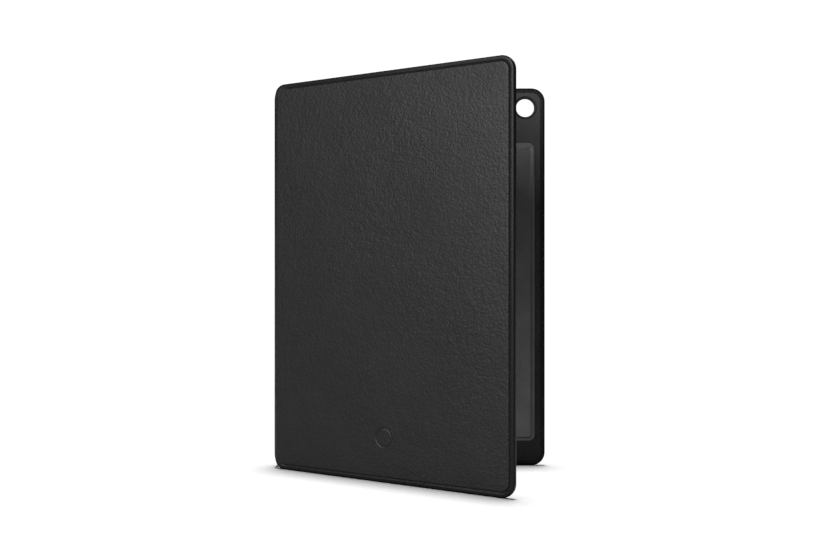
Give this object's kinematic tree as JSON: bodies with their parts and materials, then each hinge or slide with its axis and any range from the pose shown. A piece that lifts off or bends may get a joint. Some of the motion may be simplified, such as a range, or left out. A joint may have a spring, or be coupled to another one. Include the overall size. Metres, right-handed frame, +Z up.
{
  "type": "folio tablet case",
  "caption": "Slim black leather folio case for a 9.7 inch tablet, with a magnetic hinged cover, creased spine and a back that folds into a stand.",
  "frame": {"origin": "middle of the footprint of the case as it stands part open on its bottom edges, on the surface it stands on", "axes": "+X from the spine to the free edges along the back, +Y from the front cover to the back, +Z up along the spine"},
  "size_m": [0.1716, 0.1078, 0.241],
  "materials": {
    "leather": "black fine-grained napa, semi-matt",
    "lining": "charcoal microfibre suede",
    "board": "matt sheet",
    "foam": "fine-celled foam",
    "magnet": "nickel plated",
    "adhesive_pad": "satin, slightly tacky"
  },
  "bodies": {
    "tablet_panel": {"tablet_panel_leather": "leather", "tablet_panel_foam": "foam", "tablet_panel_board": "board", "tablet_panel_lining": "lining", "tablet_pad": "adhesive_pad"},
    "stand_panel": {"stand_panel_leather": "leather", "stand_panel_foam": "foam", "stand_panel_board": "board", "stand_panel_lining": "lining", "stand_hold_magnets": "magnet", "stand_fold_leather": "leather", "stand_fold_lining": "lining"},
    "spine": {"spine_leather": "leather", "spine_board": "board", "spine_lining": "lining", "rear_fold_leather": "leather", "rear_fold_lining": "lining", "front_fold_leather": "leather", "front_fold_lining": "lining"},
    "front_cover": {"front_leather": "leather", "front_foam": "foam", "front_board": "board", "front_lining": "lining", "closure_magnets": "magnet", "wake_magnet": "magnet", "stand_stop_magnets": "magnet"}
  },
  "joints": [
    {"name": "stand_fold", "type": "hinge", "parent": "tablet_panel", "child": "stand_panel", "pos_m": [0.0022, 0.0535, 0], "axis": [0, 0, -1], "range_deg": [0, 60], "deforming": ["stand_fold_leather", "stand_fold_lining"]},
    {"name": "rear_hinge", "type": "hinge", "parent": "stand_panel", "child": "spine", "pos_m": [-0.08441, 0.05256, 0], "axis": [0, 0, -1], "range_deg": [0, 162.5], "deforming": ["rear_fold_leather", "rear_fold_lining"]},
    {"name": "front_hinge", "type": "hinge", "parent": "spine", "child": "front_cover", "pos_m": [-0.08441, 0.04073, 0], "axis": [0, 0, -1], "range_deg": [-33.5, 129], "deforming": ["front_fold_leather", "front_fold_lining"]}
  ]
}
